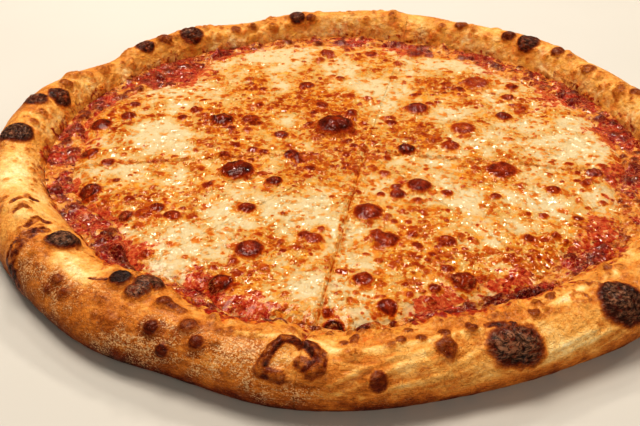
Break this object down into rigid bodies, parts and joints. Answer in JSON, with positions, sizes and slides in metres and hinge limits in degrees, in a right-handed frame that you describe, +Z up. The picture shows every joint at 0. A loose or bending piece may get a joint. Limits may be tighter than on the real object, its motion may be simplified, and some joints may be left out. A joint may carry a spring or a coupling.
{
  "type": "margherita pizza",
  "caption": "Whole round cheese-and-tomato pizza with a puffed, blistered rim, cut into wedge slices that still lie together; dough, sauce and cheese are separate layers.",
  "frame": {"origin": "middle of the pizza's outline on the flat face it rests on", "axes": "+Z up through the pizza, -Y towards the side nearest the viewer"},
  "size_m": [0.4064, 0.404, 0.0263],
  "materials": {
    "dough": "baked, floury and matte, golden with dark blisters",
    "tomato_sauce": "wet and glossy, deep red",
    "melted_cheese": "oily satin, pale yellow with orange-brown spots"
  },
  "bodies": {
    "root": {"crust_slice_1": "dough", "sauce_slice_1": "tomato_sauce", "cheese_slice_1": "melted_cheese", "crust_slice_2": "dough", "sauce_slice_2": "tomato_sauce", "cheese_slice_2": "melted_cheese", "crust_slice_3": "dough", "sauce_slice_3": "tomato_sauce", "cheese_slice_3": "melted_cheese", "crust_slice_4": "dough", "sauce_slice_4": "tomato_sauce", "cheese_slice_4": "melted_cheese", "crust_slice_5": "dough", "sauce_slice_5": "tomato_sauce", "cheese_slice_5": "melted_cheese", "crust_slice_6": "dough", "sauce_slice_6": "tomato_sauce", "cheese_slice_6": "melted_cheese", "crust_slice_7": "dough", "sauce_slice_7": "tomato_sauce", "cheese_slice_7": "melted_cheese", "crust_slice_8": "dough", "sauce_slice_8": "tomato_sauce", "cheese_slice_8": "melted_cheese"}
  },
  "joints": []
}
